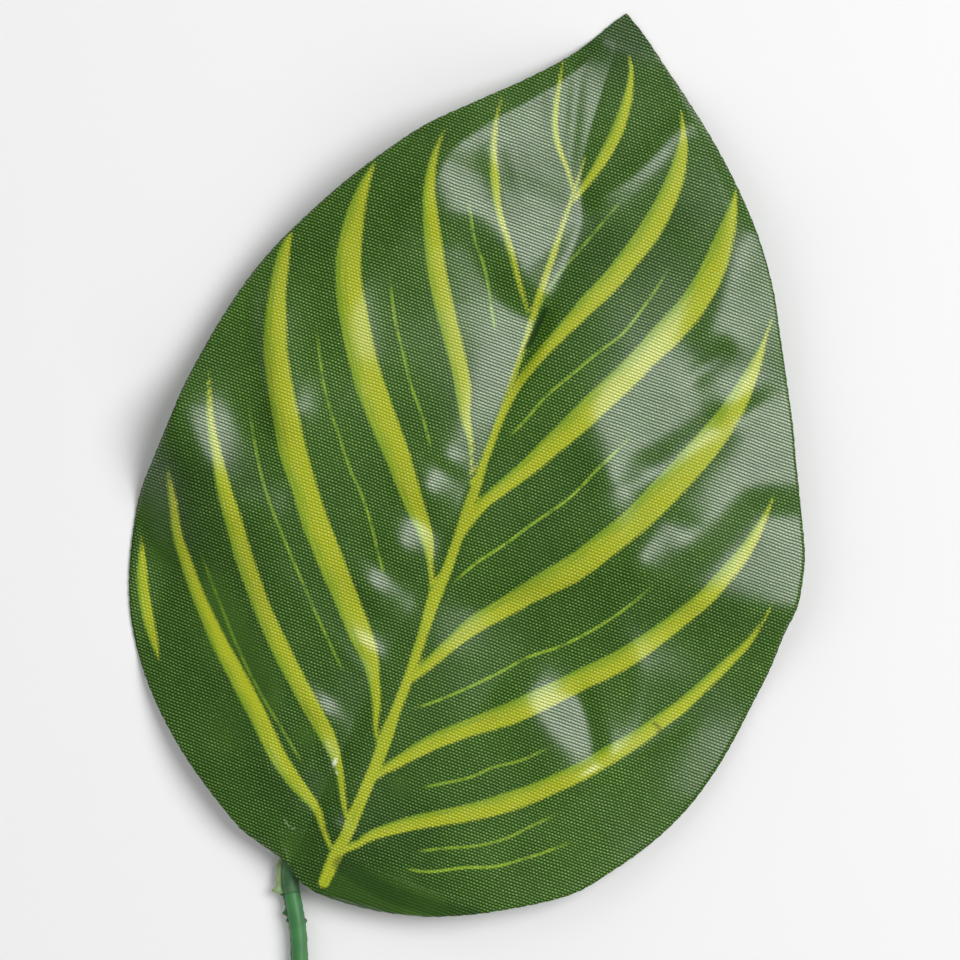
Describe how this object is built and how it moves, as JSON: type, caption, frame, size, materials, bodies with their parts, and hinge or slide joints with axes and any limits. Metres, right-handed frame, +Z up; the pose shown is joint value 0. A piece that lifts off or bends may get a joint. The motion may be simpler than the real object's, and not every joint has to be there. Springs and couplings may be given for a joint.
{
  "type": "artificial calathea leaf",
  "caption": "Artificial zebra calathea leaf: a printed cloth blade on a moulded rib skeleton with a cut plastic stem, lying print side up.",
  "frame": {"origin": "on the surface that the leaf lies on, under the middle of the part", "axes": "+Y from the stem's cut end towards the blade's tip, +Z up out of the printed side, +X to the right seen from above"},
  "size_m": [0.1129, 0.2212, 0.0153],
  "materials": {
    "printed_cloth": "woven polyester with a satin sheen, printed green with yellow-green stripes",
    "pale_green_plastic": "satin, slightly translucent",
    "stem_green_plastic": "satin, moulded, with flash along the parting line",
    "steel_wire": "drawn wire, cut end"
  },
  "bodies": {
    "root": {"leaf_blade": "printed_cloth", "rib_skeleton": "pale_green_plastic", "stem": "stem_green_plastic", "stem_wire": "steel_wire"}
  },
  "joints": []
}
